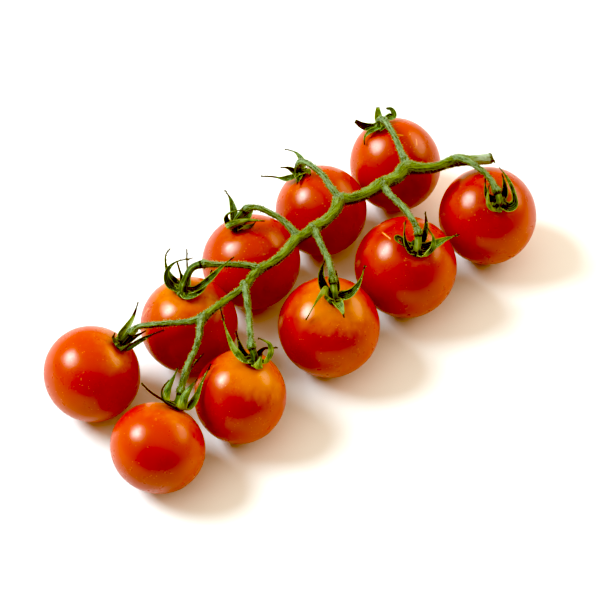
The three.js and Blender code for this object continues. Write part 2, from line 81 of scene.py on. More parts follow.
# One entry for each fruit, from the far end of the truss to the cut end.
# at: where its centre stands. height: half its height along its own axis, over its radius.
# lean and heading: how far that axis tips and towards where, in degrees. ripe: how far up the red reaches.
# collar: how pale its neck looks, from 0 dark to 1, with painted shade in it as well as its own colour.
# marks: the ends of its healed scratches, as ways from the centre in its own frame.
# pedicel: its stem, from inside the stalk to just above the knuckle. neck: its length below the knuckle.
# sepals: for each, its width, how many degrees it twists, the share of it that has dried, the share that is
# drawn out thin, how pale it looks with its painted shade, then its midrib in the calyx's own x, y and
# height.
FRUIT = (
    dict(
        at=(-73.2, 10.2), radius=15.8, height=0.97, lean=42, heading=-18, neck=5.3, ripe=0.44, collar=0.1,
        pedicel=((-36.8, -3.3, 31.7), (-41.0, -2.4, 31.5), (-46.7, 1.0, 31.2), (-53.0, 4.9, 31.0),
            (-56.6, 6.9, 30.6)),
        sepals=(
            (2.9, -30, 0.25, 0, 1.6, (1.5, 2.8, 1.5), (3.0, 4.0, 4.5), (3.2, 5.0, 8.5), (3.5, 7.5, 13.0)),
            (2.4, 70, 0.2, 0.1, -0.1, (0.1, -3.1, 1.8), (2.1, -2.9, 5.1), (4.7, -3.3, 9.5),
                (6.3, -4.6, 13.7)),
            (1.9, -33, 0.3, 0, -0.1, (-2.0, -2.6, 1.2), (-1.8, -3.0, 3.6), (0.4, -3.4, 7.2)),
            (2.4, 12, 0.2, 0, -0.1, (3.2, 0.6, 1.2), (5.6, 0.8, 3.4), (7.6, 0.4, 7.0)),
            (2.2, 56, 0.3, 0, -0.1, (-2.3, 0.9, 1.3), (-3.3, 1.9, 1.9), (-3.1, 2.7, 3.5)),
        ),
    ),
    dict(
        at=(-72.2, -25.9), radius=15.2, height=0.94, lean=52, heading=22, neck=5.0, ripe=0.34, collar=0.35,
        pedicel=((-37.4, -2.9, 31.8), (-39.5, -4.2, 31.5), (-42.7, -7.9, 30.8), (-46.1, -10.8, 30.0),
            (-50.2, -13.3, 29.4), (-54.8, -16.6, 28.8)),
        sepals=(
            (2.3, 75, 0.5, 0.4, 0.3, (-3.5, -1.0, 1.2), (-7.0, 0.5, 1.6), (-10.5, 3.0, 2.5),
                (-13.5, 5.0, 4.0)),
            (1.8, 25, 0.3, 0.1, 0, (-4.6, -2.2, 0.9), (-7.6, -0.8, 1.8), (-8.5, 0.5, 4.5),
                (-7.4, 0.5, 8.2)),
            (3.4, 60, 0.12, 0.1, 0.75, (-3.4, 2.2, 1.4), (-4.4, 2.4, 5.0), (-4.2, 2.2, 9.0),
                (-3.6, 2.6, 12.6)),
            (2.4, -6, 0.2, 0.3, 0.9, (2.4, 2.6, 1.6), (3.4, 3.6, 6.0), (3.0, 3.4, 13.0), (4.6, 2.6, 19.0)),
            (4.0, -23, 0.15, 0.1, 0.7, (-1.4, -3.6, 1.2), (-1.8, -3.2, 5.0), (-0.6, -3.0, 9.0),
                (1.4, -2.2, 11.2)),
            (3.2, 60, 0.12, 0.1, 1, (3.2, -2.2, 1.3), (4.6, -2.0, 5.0), (4.8, -1.6, 10.0),
                (6.2, -0.6, 17.0)),
        ),
    ),
    dict(
        at=(-40.1, -25.9), radius=14.8, height=1.05, lean=21, heading=1, neck=5.4, ripe=0.3, collar=0.35,
        pedicel=((-19.6, -0.9, 33.2), (-21.8, -4.7, 33.6), (-24.0, -8.4, 34.0), (-27.8, -14.6, 34.4),
            (-30.9, -19.5, 34.3), (-33.2, -23.3, 33.4)),
        sepals=(
            (3.4, -70, 0.16, 0.15, 1.2, (-3.8, 0.8, 1.3), (-5.0, 5.0, 3.4), (-5.2, 10.5, 6.8),
                (-4.8, 16.0, 11.0)),
            (3.1, -80, 0.1, 0, 0.85, (3.0, -2.7, 1.3), (3.5, -3.1, 4.8), (2.4, -1.7, 8.8),
                (-0.4, 1.1, 9.8)),
            (1.4, -7, 0.8, 0.3, 0.3, (3.0, 1.4, 1.4), (4.6, 1.2, 3.6), (5.6, -0.4, 4.8), (7.2, -1.6, 5.6)),
            (2.9, -55, 0.2, 0.1, 0.5, (-2.0, 3.0, 1.4), (-3.2, 5.0, 4.6), (-4.0, 7.6, 8.4)),
            (3.7, -27, 0.1, 0, 0.9, (-1.4, -3.8, 1.2), (-1.6, -3.8, 3.4), (-0.6, -2.8, 6.6)),
        ),
    ),
    dict(
        at=(-36.7, 7.5), radius=16.1, height=0.98, lean=7, heading=86, neck=13.0, ripe=0.42, collar=0.5,
        marks=(((-0.64, 0.38, 0.67), (-0.79, 0.46, 0.42)),),
        pedicel=((-12.8, -0.1, 33.9), (-13.9, 1.7, 34.6), (-16.6, 3.9, 35.6), (-20.4, 5.8, 36.8),
            (-25.1, 8.1, 38.0), (-28.4, 10.1, 38.6), (-31.8, 11.1, 38.2), (-34.8, 10.3, 36.0)),
        sepals=(
            (2.6, -29, 0.15, 0.25, 0.2, (0.0, 3.6, 1.3), (0.0, 7.6, 2.0), (1.2, 11.6, 3.4),
                (2.4, 13.0, 6.0), (4.0, 12.2, 8.6)),
            (3.5, -70, 0.15, 0.15, 0.25, (-2.2, 3.8, 1.4), (-1.2, 7.0, 4.2), (2.0, 7.0, 7.2),
                (7.0, 3.6, 8.8)),
            (2.6, -3, 0.3, 0.3, 0.2, (2.0, 3.2, 1.5), (2.6, 5.4, 4.0), (3.4, 8.0, 6.6)),
            (2.6, 9, 0.35, 0.4, 0.4, (3.4, 2.2, 1.5), (5.4, 5.2, 4.6), (8.6, 9.6, 7.4)),
            (3.1, 45, 0.12, 0.1, 0.65, (2.9, -2.3, 1.3), (6.3, -4.0, 3.6), (9.7, -5.4, 7.1),
                (13.3, -5.7, 9.0), (17.0, -5.7, 9.8)),
            (3.1, -10, 0.15, 0.1, 0.9, (-1.0, -3.4, 1.3), (3.0, -4.6, 1.4), (7.4, -3.0, 1.8),
                (11.0, -0.6, 4.0)),
        ),
    ),
    dict(
        at=(-4.6, 16.7), radius=16.7, height=0.95, lean=18, heading=109, neck=9.0, ripe=0.66, collar=0.55,
        pedicel=((5.0, 2.3, 35.0), (5.0, 6.1, 35.6), (4.5, 10.2, 36.6), (2.3, 15.1, 38.0),
            (-0.2, 19.0, 38.8), (-3.1, 20.6, 38.4), (-5.4, 21.1, 36.4)),
        sepals=(
            (3.7, 0, 0.22, 0.1, 0.6, (1.2, 3.2, 1.5), (3.0, 6.0, 3.4), (4.6, 9.6, 5.0), (5.6, 14.0, 5.8)),
            (3.7, -15, 0.08, 0, 0.9, (-2.8, 1.4, 1.3), (-3.6, -0.6, 3.4), (-0.8, -3.0, 4.6),
                (3.0, -5.2, 4.2), (6.4, -8.0, 3.0)),
            (2.9, -70, 0.12, 0.1, 0.6, (-2.1, 1.9, 2.0), (-2.8, 0.9, 6.7), (-1.4, -2.1, 9.5),
                (1.9, -4.5, 9.3)),
            (2.9, 40, 0.12, 0, 0.9, (3.4, 0.6, 1.4), (5.8, 1.0, 1.6), (8.2, 1.0, 3.4)),
            (3.1, -75, 0.1, 0, 0.7, (0.6, -3.4, 1.2), (2.6, -4.8, 1.6), (4.6, -5.0, 2.6)),
        ),
    ),
    dict(
        at=(-0.7, -21.4), radius=16.8, height=0.98, lean=5, heading=-61, neck=6.2, ripe=0.4, collar=0.6,
        pedicel=((10.4, 2.6, 36.0), (10.0, 0.1, 36.4), (8.8, -3.1, 37.2), (6.5, -9.1, 38.4),
            (4.9, -13.7, 38.8), (2.6, -18.3, 37.6)),
        sepals=(
            (3.2, -20, 0.1, 0.1, 1.5, (-2.0, 0.7, 2.4), (-3.0, 1.9, 5.0), (-5.3, 1.0, 5.5),
                (-8.1, 0.1, 2.7), (-11.5, -0.7, -1.9)),
            (4.1, 44, 0.1, 0.1, 0.6, (2.8, -2.0, 1.6), (5.0, -2.8, 3.2), (8.6, -2.0, 5.2),
                (13.4, 1.6, 6.6)),
            (3.4, 17, 0.12, 0, 1.4, (-0.4, -3.0, 1.3), (-0.8, -5.2, 1.2), (-1.8, -8.0, 0.4)),
            (3.5, -50, 0.12, 0, 0.3, (-1.0, 3.4, 1.8), (-1.5, 5.0, 5.4), (-0.9, 6.5, 9.0),
                (1.3, 7.8, 11.3)),
            (2.3, 14, 0.2, 0.1, 0.5, (2.8, 2.2, 1.4), (4.2, 4.0, 3.0), (4.4, 5.4, 6.0)),
        ),
    ),
    dict(
        at=(28.3, 20.8), radius=15.8, height=0.99, lean=35, heading=105, neck=7.6, ripe=0.6, collar=0.25,
        pedicel=((25.6, 6.3, 36.0), (25.6, 8.7, 36.6), (25.5, 11.9, 37.6), (26.0, 17.6, 38.6),
            (25.6, 22.8, 38.7), (25.2, 27.1, 37.0), (25.2, 29.5, 33.6)),
        sepals=(
            (3.6, -65, 0.3, 0.3, 0.75, (-2.8, -0.8, 1.3), (-5.2, 2.0, 2.0), (-7.6, 4.6, 4.0),
                (-10.4, 7.6, 5.6)),
            (3.2, 21, 0.15, 0.15, 0.9, (2.8, 1.4, 1.6), (4.2, 4.0, 3.4), (4.4, 6.8, 5.6), (2.4, 8.6, 8.0)),
            (2.3, -21, 0.25, 0.1, 0.5, (-0.6, 2.8, 1.5), (-1.8, 3.4, 3.8), (-4.0, 3.4, 5.6)),
            (3.1, 3, 0.1, 0, 1.3, (0.6, -3.2, 1.3), (1.4, -4.6, 1.5), (0.6, -6.6, 1.0)),
            (2.6, -36, 0.2, 0, 0.5, (-2.2, -2.6, 1.2), (-3.2, -3.8, 1.1), (-4.8, -5.2, 0.6)),
        ),
    ),
    dict(
        at=(35.3, -17.1), radius=17.2, height=0.98, lean=20, heading=-100, neck=6.6, ripe=0.75, collar=0.9,
        marks=(((-0.23, 0.71, 0.66), (-0.25, 0.45, 0.86)),),
        pedicel=((40.9, 3.8, 36.0), (40.2, 0.9, 36.6), (39.2, -3.5, 37.6), (38.6, -9.1, 38.8),
            (37.6, -15.2, 39.4), (36.4, -20.5, 38.0)),
        sepals=(
            (4.1, 18, 0.08, 0.1, 0.9, (2.6, -1.8, 1.7), (5.4, -2.6, 3.4), (9.2, -3.2, 4.2),
                (13.6, -4.5, 5.0)),
            (3.7, -85, 0.12, 0.1, 0.6, (0.6, -3.6, 1.4), (3.0, -4.0, 4.0), (4.6, -1.2, 7.0),
                (4.2, 3.0, 8.6)),
            (3.1, 54, 0.12, 0, 0.25, (-2.4, 2.6, 1.5), (-3.8, 5.8, 2.8), (-5.6, 5.2, 4.6),
                (-4.8, 1.4, 5.6)),
            (2.6, -20, 0.15, 0.1, 0.4, (-2.7, 0.2, 1.4), (-3.1, 3.2, 3.3), (-2.0, 6.0, 5.7),
                (0.2, 8.6, 7.7)),
            (2.9, 0, 0.3, 0, 0.8, (3.6, 1.4, 1.5), (5.9, 3.9, 5.4), (7.6, 7.6, 7.6)),
        ),
    ),
    dict(
        at=(61.7, 21.5), radius=15.9, height=1.05, lean=26, heading=99, neck=6.4, ripe=0.72, collar=0.6,
        marks=(((-0.01, -0.45, 0.89), (0.14, -0.57, 0.81)), ((0.34, -0.68, 0.65), (0.25, -0.79, 0.55))),
        pedicel=((53.4, 6.3, 35.7), (54.6, 10.3, 36.6), (55.9, 14.4, 37.6), (57.7, 20.5, 38.0),
            (59.2, 25.3, 36.8)),
        sepals=(
            (3.4, -60, 0.45, -0.25, 0.7, (-3.5, 0.8, 1.2), (-5.7, 2.4, 2.8), (-6.8, 4.6, 4.9)),
            (2.6, -42, 0.2, 0.1, 1.2, (-2.6, -2.2, 1.2), (-5.6, -1.0, 1.2), (-7.8, -0.4, 0.2),
                (-9.5, -1.5, -1.6)),
            (3.1, 5, 0.02, -0.3, 1.6, (1.2, 2.6, 1.6), (2.0, 3.4, 3.3), (3.0, 3.9, 5.1)),
            (3.1, 75, 0.1, -0.15, 0.9, (2.8, -0.7, 1.5), (5.1, -0.9, 1.9), (5.5, 0.1, 3.5),
                (4.3, 1.0, 4.5)),
            (2.6, 0, 0.15, 0, 0.6, (0.0, -3.0, 1.3), (-2.2, -4.2, 1.2), (-4.6, -3.6, 1.0)),
        ),
    ),
    dict(
        at=(72.2, -16.2), radius=16.8, height=0.99, lean=25, heading=-109, neck=5.2, ripe=0.7, collar=0.9,
        pedicel=((68.4, -1.9, 34.9), (68.4, -2.7, 36.2), (69.1, -5.7, 37.8), (70.0, -11.0, 38.2),
            (70.8, -16.3, 37.2)),
        sepals=(
            (3.4, 50, 0.1, 0, 1, (-3.5, -1.4, 1.2), (-4.9, 0.2, 2.8), (-4.3, 2.6, 5.5), (-2.2, 5.5, 8.7)),
            (4.1, 30, 0.1, 0, 0.6, (1.5, -3.8, 1.3), (3.4, -4.3, 3.8), (4.4, -1.1, 6.9),
                (4.6, 3.9, 8.9), (4.2, 8.6, 9.1)),
            (2.4, -9, 0.2, 0.1, 0.6, (-2.4, -2.8, 1.3), (-2.6, -2.6, 3.4), (-1.4, -1.4, 7.0)),
            (2.6, -6, 0.15, 0, 0.3, (3.0, 1.0, 1.5), (4.6, 3.4, 2.8), (6.0, 7.0, 3.2)),
            (2.9, -50, 0.15, 0.1, 0.4, (-2.2, 2.6, 1.8), (-2.8, 5.2, 5.0), (-1.4, 8.4, 7.6)),
        ),
    ),
)

# Stems
PEDICEL_RADIUS = 0.95
FLARE = 0.9  # how much wider a fruit stem is where it leaves the stalk
FLARE_LENGTH = 2.5
KNUCKLE_RADIUS = 1.5  # of the swollen joint where a ripe fruit snaps off
KNUCKLE_LENGTH = 1.3
KNUCKLE_PEAK = 0.6  # how far its widest place is from its end, over its length
NECK_RADIUS = 1.15
NECK_SHOULDER = 0.2  # how much wider the neck is right below the knuckle
SHOULDER_FADE = 12  # how fast that ends
NECK_BASE_RADIUS = 1.6
STEM_STEP = 0.5
NECK_STEP = 0.4
STEM_SIDES = 16
NECK_SIDES = 20
RACHIS_RINGS = 260
CUT_LENGTH = 14  # the stalk pales over this length towards its cut end
CUT_PEEL = ((79.0, -7.0, 35.9), (78.8, -8.3, 35.8), (78.6, -9.6, 35.0), (78.8, -10.4, 33.8))
PEEL_RADII = (0.35, 0.3)
PEEL_FACETS = 8
RIDGE_ALONG = 0.16  # scales of the noise that raises ridges: along the stem and round it
RIDGE_ROUND = 1.7
RIDGE_HEIGHT = 0.13
KNOT_SCALE = 0.35  # of the broader lumps
KNOT_HEIGHT = 0.12
STALK_SEED = 11

# Hairs
HAIR_LEAN = 0.45
HAIR_LENGTHS = (0.5, 1.2)  # over the length that is set
STALK_HAIR_WIDTH = 0.33  # over the voxel size
SEPAL_HAIR_WIDTH = 0.05

# Calyx
CUP_RADIUS = 2.9
CUP_HEIGHT = 1.0
CUP_SIDES = 32
CUP_RINGS = 12
CUP_LOBES = 5
LOBE_DEPTH = 0.08  # over the cup's radius
BLADE_START = 0.22  # a blade's outline is a sine arch that starts this far in
BLADE_LEAN = 0.8  # under 1, the widest place is nearer the foot
SEPAL_ROOT = (0, 0, 1)  # where every midrib starts, inside the cup
TWIST_FROM = 0.1  # a sepal twists between these shares of its length
TWIST_TO = 0.6
TIP_WIDTH = 0.8
CURLS = (0.8, 1.25)  # how far across a sepal curls, as the angle in radians at its edge
CRINKLE_HEIGHT = 0.10  # of the waves along the edges, over half the width
CRINKLE_TURN = 3.2  # a wave turns this far, in radians, for each length
CRINKLE_LENGTH = 5
CRINKLE_SLANT = 2
CRINKLE_STARTS = (0, 6.3)
EDGE_THICKNESS = 0.35  # over the thickness at the midrib
EDGE_POWER = 1.5
TIP_THICKNESS = 0.5  # over the thickness at the foot
KEEL = 1.7  # how much deeper a sepal is below its midrib
MIDRIB = 0.01  # a point this near the middle is on the midrib, over half the width
VEIN_TURN = 7.85  # radians from the midrib to the edge, with a vein at each half turn
FOOT_LENGTH = 3.4
FOOT_HALF_WIDTH = 1.9
FOOT_SHARE = 0.5  # how much of that width the foot takes
FOOT_FLATNESS = 0.6  # how much less the foot curls
RIBS = 3  # down the neck and round the cup
RIB_REACH = 0.9
KNUCKLE_PALE = -0.3  # the neck is dark for its first rings
DARK_RINGS = 2
CUP_SHARE = 0.1  # the cup and the neck are coloured as a sepal is at these shares of its length
NECK_SHARE = 0.2
NEVER_DRY = 2.0  # a start of the drying past the end
FAR = 9.0  # millimetres from the foot, past which its colour doesn't reach
CALYX_SEED = 100  # plus the number of the fruit

# Colours that no setting changes
FLECK = (0.90, 0.38, 0.14)
HIGHLIGHT = (1.0, 0.98, 0.84, 1.0)
CUT_RIM = (0.055, 0.060, 0.022)
STALK_HAIR = (0.55, 0.64, 0.34)
SEPAL_HAIR = (0.50, 0.60, 0.30)
GREEN_SHEEN = (0.85, 0.95, 0.70, 1.0)
PAPER_TONE = (0.9, 0.8, 0.7)

# Studio, in metres and degrees
AIM = Vector((-0.0014, -0.0065, 0.016))
FLOOR_REACH = 4
SENSOR_WIDTH = 36  # of the camera, in millimetres
NEAREST = 0.01
KEY = dict(azimuth=129, elevation=45, distance=2.0, size=(0.95, 0.80), colour=(0.74, 0.92, 1.0))
SIDE = dict(azimuth=-10, elevation=28, distance=1.0, size=(0.9, 0.5), colour=(1.0, 0.88, 0.74))
FRONT_AZIMUTH = -127  # the light from all round is dimmer towards here
FRONT_ELEVATION = 20
FRONT_EDGE = (0.62, 0.82)  # where it dims, as the cosine of the angle from there
FRONT_SHARE = 0.12  # how much of it is left
BLACK_LEVEL = (0.018, 0.056, 0.105)  # the print is developed for deep reds

Frame = namedtuple("Frame", "centre across above along")
Layers = namedtuple("Layers", "blade part pale")


class Path:
    """A smooth curve through points, read by a share of its points or of its length."""

    CHORDS = 200
    NUDGE = 1e-4

    def __init__(self, points):
        self.points = [Vector(point) for point in points]
        spots = [self.at(i / self.CHORDS) for i in range(self.CHORDS + 1)]
        self.runs = [0.0]
        for before, after in zip(spots, spots[1:]):
            self.runs.append(self.runs[-1] + (after - before).length)
        self.length = self.runs[-1]

    def at(self, share):
        """A point on the curve: it turns evenly through the points, however far apart they are."""
        last = len(self.points) - 1
        index = max(0, min(int(share * last), last - 1))
        w = share * last - index
        start, end = self.points[index], self.points[index + 1]
        before = self.points[index - 1] if index > 0 else 2 * start - end
        after = self.points[index + 2] if index + 2 <= last else 2 * end - start
        d0, d1, d2 = ((b - a).length ** 0.5 for a, b in ((before, start), (start, end), (end, after)))
        leave = ((start - before) / d0 - (end - before) / (d0 + d1) + (end - start) / d1) * d1
        arrive = ((end - start) / d1 - (after - start) / (d1 + d2) + (after - end) / d2) * d1
        bend = 3 * (end - start) - 2 * leave - arrive
        return start + leave * w + bend * w * w + (2 * (start - end) + leave + arrive) * w ** 3

    def tangent(self, share):
        low, high = max(0.0, share - self.NUDGE), min(1.0, share + self.NUDGE)
        return (self.at(high) - self.at(low)).normalized()

    def share_at(self, run):
        """The share of the points that lies this far along the curve."""
        run = min(max(run, 0.0), self.length)
        index = next(i for i in range(self.CHORDS) if self.runs[i + 1] >= run)
        chord = self.runs[index + 1] - self.runs[index]
        return (index + (run - self.runs[index]) / chord) / self.CHORDS


def frames_along(path, shares, side):
    """Frames that turn with a path and never twist round it."""
    found = []
    across = Vector(side)
    for share in shares:
        along = path.tangent(share)
        if found:
            across.rotate(found[-1].along.rotation_difference(along))
        across = (across - along * across.dot(along)).normalized()
        found.append(Frame(path.at(share), across.copy(), along.cross(across), along))
    return found


def rolled(ring, degrees):
    turn = math.radians(degrees)
    across = ring.across * math.cos(turn) + ring.above * math.sin(turn)
    return Frame(ring.centre, across, ring.along.cross(across), ring.along)


def spread(low, high, count):
    return [low + (high - low) * i / count for i in range(count + 1)]


def lerp(low, high, share):
    return low + (high - low) * share


def smooth(value, low, high):
    share = min(max((value - low) / (high - low), 0.0), 1.0)
    return share * share * (3 - 2 * share)


def along_list(values, share):
    spot = share * (len(values) - 1)
    before = min(int(spot), len(values) - 2)
    return lerp(values[before], values[before + 1], spot - before)


def each_once(parts):
    """Parts of a mesh without repeats, in their first order, so that every run draws the same hairs."""
    return list(dict.fromkeys(parts))


def standing(fruit):
    """Where a fruit stands: its centre and its leaning axis."""
    lean, heading = math.radians(fruit["lean"]), math.radians(fruit["heading"])
    height = fruit["radius"] * math.hypot(math.sin(lean), fruit["height"] * math.cos(lean)) - FLAT_DEPTH
    turn = Quaternion((-math.sin(heading), math.cos(heading), 0), lean)
    return Matrix.Translation((*fruit["at"], height)) @ turn.to_matrix().to_4x4()


def hub_height(fruit):
    return fruit["radius"] * (fruit["height"] - HUB_DEPTH)


def calyx_place(fruit):
    return standing(fruit) @ Matrix.Translation((0, 0, hub_height(fruit)))


def stem_path(fruit):
    """The stem of one fruit from the stalk to the calyx."""
    hub = calyx_place(fruit)
    return Path([*fruit["pedicel"], hub @ Vector((0, 0, STRAIGHT_RISE)), hub.translation])


def skin_reach(spot, fruit):
    """How far the skin is from the fruit's centre, towards a spot in the fruit's own frame."""
    way = spot.normalized()
    sideways = math.hypot(way.x, way.y)
    polar = math.atan2(fruit["height"] * sideways, way.z)
    dimple = math.exp(-((math.sin(polar) / DIMPLE_WIDTH) ** 2)) if way.z > 0 else 0
    reach = math.hypot(math.sin(polar), fruit["height"] * math.cos(polar)) - DIMPLE_DEPTH * dimple * way.z
    return reach * fruit["radius"]


def ring_matrix(ring, radius):
    turn = Matrix((ring.across, ring.above, ring.along)).transposed().to_4x4()
    return Matrix.Translation(ring.centre) @ turn @ Matrix.Diagonal((radius, radius, 1, 1))


def add_tube(bm, rings, radii, sides):
    """Extrudes a circle along a path and closes both ends. Gives its rings of points."""
    places = [ring_matrix(ring, radius) for ring, radius in zip(rings, radii)]
    circle = bmesh.ops.create_circle(bm, segments=sides, radius=1, matrix=places[0])["verts"]
    edges = each_once(edge for vert in circle for edge in vert.link_edges)
    ends = [edges]
    made = [circle]
    for before, after in zip(places, places[1:]):
        grown = bmesh.ops.extrude_edge_only(bm, edges=edges)["geom"]
        verts = [part for part in grown if isinstance(part, bmesh.types.BMVert)]
        fresh = set(verts)
        edges = [part for part in grown
                 if isinstance(part, bmesh.types.BMEdge) and fresh.issuperset(part.verts)]
        bmesh.ops.transform(bm, matrix=after @ before.inverted(), verts=verts)
        made.append(verts)
    ends.append(edges)
    for end in ends:
        bmesh.ops.edgeloop_fill(bm, edges=end)
    return made


def add_hairs(bm, faces, width, length, rng):
    """Raises a thin leaning hair from the middle of each face."""
    bmesh.ops.inset_individual(bm, faces=faces, thickness=width, use_even_offset=False)
    for face in faces:
        for edge in face.edges:
            edge.smooth = False
    tips = bmesh.ops.poke(bm, faces=faces)["verts"]
    for tip in tips:
        face = tip.link_faces[0]
        face.normal_update()
        lean = Vector([rng.uniform(-HAIR_LEAN, HAIR_LEAN) for _ in range(3)])
        tip.co += (face.normal + lean).normalized() * length * rng.uniform(*HAIR_LENGTHS)
    return tips


def finish_piece(bm, name, material, node):
    """Turns a bmesh in millimetres into a finished object in metres that stands for a node."""
    bmesh.ops.scale(bm, vec=(MM, MM, MM), verts=bm.verts)
    bmesh.ops.recalc_face_normals(bm, faces=bm.faces)
    for face in bm.faces:
        face.smooth = True
    mesh = bpy.data.meshes.new(name)
    bm.to_mesh(mesh)
    bm.free()
    mesh.materials.append(material)
    piece = bpy.data.objects.new(name, mesh)
    bpy.context.scene.collection.objects.link(piece)
    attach(piece, "root")
    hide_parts(node)


class Finish:
    """A material under way: each call adds a shader node and gives its output."""

    def __init__(self, name):
        self.material = bpy.data.materials.new(name)
        self.material.use_nodes = True
        self.tree = self.material.node_tree
        self.shader = self.tree.nodes["Principled BSDF"]

    def fill(self, socket, value):
        if isinstance(value, bpy.types.NodeSocket):
            self.tree.links.new(value, socket)
        else:
            socket.default_value = value

    def add(self, kind, inputs=None, **settings):
        made = self.tree.nodes.new(kind)
        for name, value in settings.items():
            setattr(made, name, value)
        for name, value in (inputs or {}).items():
            self.fill(made.inputs[name], value)
        return made

    def place(self):
        return self.add("ShaderNodeTexCoord").outputs["Object"]

    def attribute(self, name, output="Vector"):
        return self.add("ShaderNodeAttribute", attribute_name=name).outputs[output]

    def split(self, vector):
        return self.add("ShaderNodeSeparateXYZ", {"Vector": vector}).outputs

    def stretch(self, vector, scale):
        return self.add("ShaderNodeMapping", {"Vector": vector, "Scale": scale}).outputs["Vector"]

    def noise(self, vector, scale, detail=2.0):
        return self.add(
            "ShaderNodeTexNoise", {"Vector": vector, "Scale": scale, "Detail": detail}).outputs["Fac"]

    def dots(self, vector, scale):
        return self.add("ShaderNodeTexVoronoi", {"Vector": vector, "Scale": scale}).outputs["Distance"]

    def math(self, operation, a, b=0.0):
        return self.add("ShaderNodeMath", {0: a, 1: b}, operation=operation).outputs["Value"]

    def times(self, a, b):
        return self.math("MULTIPLY", a, b)

    def step(self, value, low, high, bottom=0.0, top=1.0):
        """Runs smoothly from bottom to top as a value goes from low to high."""
        return self.add(
            "ShaderNodeMapRange",
            {"Value": value, "From Min": low, "From Max": high, "To Min": bottom, "To Max": top},
            interpolation_type="SMOOTHSTEP").outputs["Result"]

    def mix(self, share, a, b):
        """Mixes two colours by a share of the second."""
        made = self.add("ShaderNodeMix", data_type="RGBA")
        for index, value in ((0, share), (6, a), (7, b)):
            if isinstance(value, tuple):
                value = (*value, 1.0)
            self.fill(made.inputs[index], value)
        return made.outputs[2]

    def bump(self, height, distance, normal=None):
        made = self.add("ShaderNodeBump", {"Height": height, "Distance": distance})
        if normal:
            self.fill(made.inputs["Normal"], normal)
        return made.outputs["Normal"]

    def set(self, **values):
        """Fills the shader's own sockets, named in lower case with underscores."""
        for name, value in values.items():
            self.fill(self.shader.inputs[name.replace("_", " ").title().replace("Ior", "IOR")], value)


class FruitFinish(bpy.types.PropertyGroup):
    """The skin of the fruit."""

    ripe: FloatVectorProperty(
        name="Ripe", description="Colour of the ripe skin", default=(0.47, 0.028, 0.002), size=3,
        subtype="COLOR")
    shoulder: FloatVectorProperty(
        name="Shoulder", description="Colour round the stem, which ripens last",
        default=(0.59, 0.138, 0.004), size=3, subtype="COLOR")
    deep: FloatVectorProperty(
        name="Deep", description="Colour of the darkest red blotches", default=(0.38, 0.004, 0.001), size=3,
        subtype="COLOR")
    scar: FloatVectorProperty(
        name="Scar", description="Colour of a healed scratch", default=(0.74, 0.27, 0.11), size=3,
        subtype="COLOR")
    sides: IntProperty(name="Sides", description="Facets round a fruit", default=96, min=24, max=160)
    rings: IntProperty(name="Rings", description="Facets from pole to pole", default=64, min=12, max=96)
    lump: FloatProperty(
        name="Lump", description="How uneven a fruit is, over its radius", default=0.010, min=0, max=0.05)


class StalkFinish(bpy.types.PropertyGroup):
    """The main stalk and the fruit stems."""

    bark: FloatVectorProperty(
        name="Bark", description="Colour of the main stalk", default=(0.200, 0.285, 0.072), size=3,
        subtype="COLOR")
    # Painted shade, laid into the stalk's furrows and on its underside rather than a colour of its own.
    bark_painted_shade: FloatVectorProperty(
        name="Dark bark", description="Colour of its furrows and underside", default=(0.007, 0.042, 0.018),
        size=3, subtype="COLOR")
    stem: FloatVectorProperty(
        name="Stem", description="Colour of the downy fruit stems", default=(0.200, 0.300, 0.135), size=3,
        subtype="COLOR")
    cut: FloatVectorProperty(
        name="Cut", description="Colour of the drying cut end", default=(0.37, 0.43, 0.30), size=3,
        subtype="COLOR")
    voxel: FloatProperty(
        name="Voxel", description="Size in millimetres of the mesh that joins the stems", default=0.32,
        min=0.15, max=0.6)
    hairs: IntProperty(name="Hairs", description="Number of hairs", default=9000, min=0, max=12000)
    hair_length: FloatProperty(
        name="Hair length", description="Millimetres", default=0.75, min=0.1, max=2)


class CalyxFinish(bpy.types.PropertyGroup):
    """The sepals, and the cup and neck that carry them."""

    leaf: FloatVectorProperty(
        name="Leaf", description="Colour of a mid-toned sepal", default=(0.066, 0.165, 0.070), size=3,
        subtype="COLOR")
    vein: FloatVectorProperty(
        name="Vein", description="Colour of veins, margins and the palest sepals",
        default=(0.34, 0.43, 0.15), size=3, subtype="COLOR")
    # Painted shade: the dark end of the sepal tones, reached by shaded inner faces and by sepals given a low
    # pale value.
    inside: FloatVectorProperty(
        name="Inside", description="Colour of the darkest sepals", default=(0.003, 0.034, 0.020), size=3,
        subtype="COLOR")
    foot: FloatVectorProperty(
        name="Foot", description="Colour where the sepals join", default=(0.42, 0.45, 0.08), size=3,
        subtype="COLOR")
    dry: FloatVectorProperty(
        name="Dry", description="Colour of the dried tips", default=(0.014, 0.010, 0.004), size=3,
        subtype="COLOR")
    thickness: FloatProperty(
        name="Thickness", description="Of a sepal along its midrib, in millimetres", default=0.42, min=0.1,
        max=1)
    columns: IntProperty(name="Columns", description="Facets across half a sepal", default=5, min=2, max=8)
    rows: IntProperty(name="Rows", description="Facets along a sepal", default=28, min=8, max=60)
    hairs: IntProperty(name="Hairs", description="Hairs on each sepal", default=50, min=0, max=300)
    hair_length: FloatProperty(name="Hair length", description="Millimetres", default=0.5, min=0.1, max=1)


